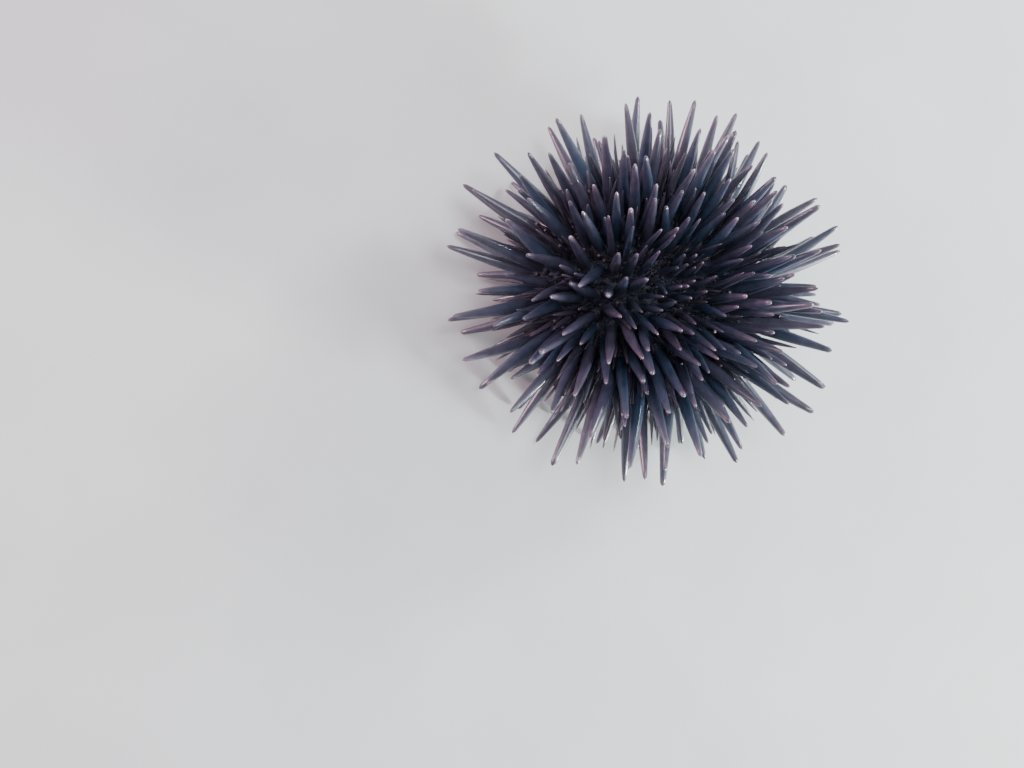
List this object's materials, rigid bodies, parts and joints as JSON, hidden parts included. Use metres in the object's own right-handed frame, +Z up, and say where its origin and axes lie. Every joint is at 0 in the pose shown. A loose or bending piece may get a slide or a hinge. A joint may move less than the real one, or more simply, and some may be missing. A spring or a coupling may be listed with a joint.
{
  "type": "oblong sea urchin",
  "caption": "Dark, spiny oblong sea urchin standing on its lower spines, with an oval test under a dense radial coat of stout tapered spines.",
  "frame": {"origin": "on the floor, under the middle of the animal's bounding box", "axes": "+X along the long axis of the test, through ambulacrum 1, +Z up from the mouth to the apical disc"},
  "size_m": [0.1002, 0.0952, 0.0515],
  "materials": {
    "spines": "satin",
    "skin": "satin",
    "teeth": "satin"
  },
  "bodies": {
    "root": {"ambulacrum_1": "spines", "ambulacrum_2": "spines", "ambulacrum_3": "spines", "ambulacrum_4": "spines", "ambulacrum_5": "spines", "interambulacrum_1": "spines", "interambulacrum_2": "spines", "interambulacrum_3": "spines", "interambulacrum_4": "spines", "interambulacrum_5": "spines", "apical_disc": "spines", "peristome": "skin", "jaws": "teeth"}
  },
  "joints": []
}
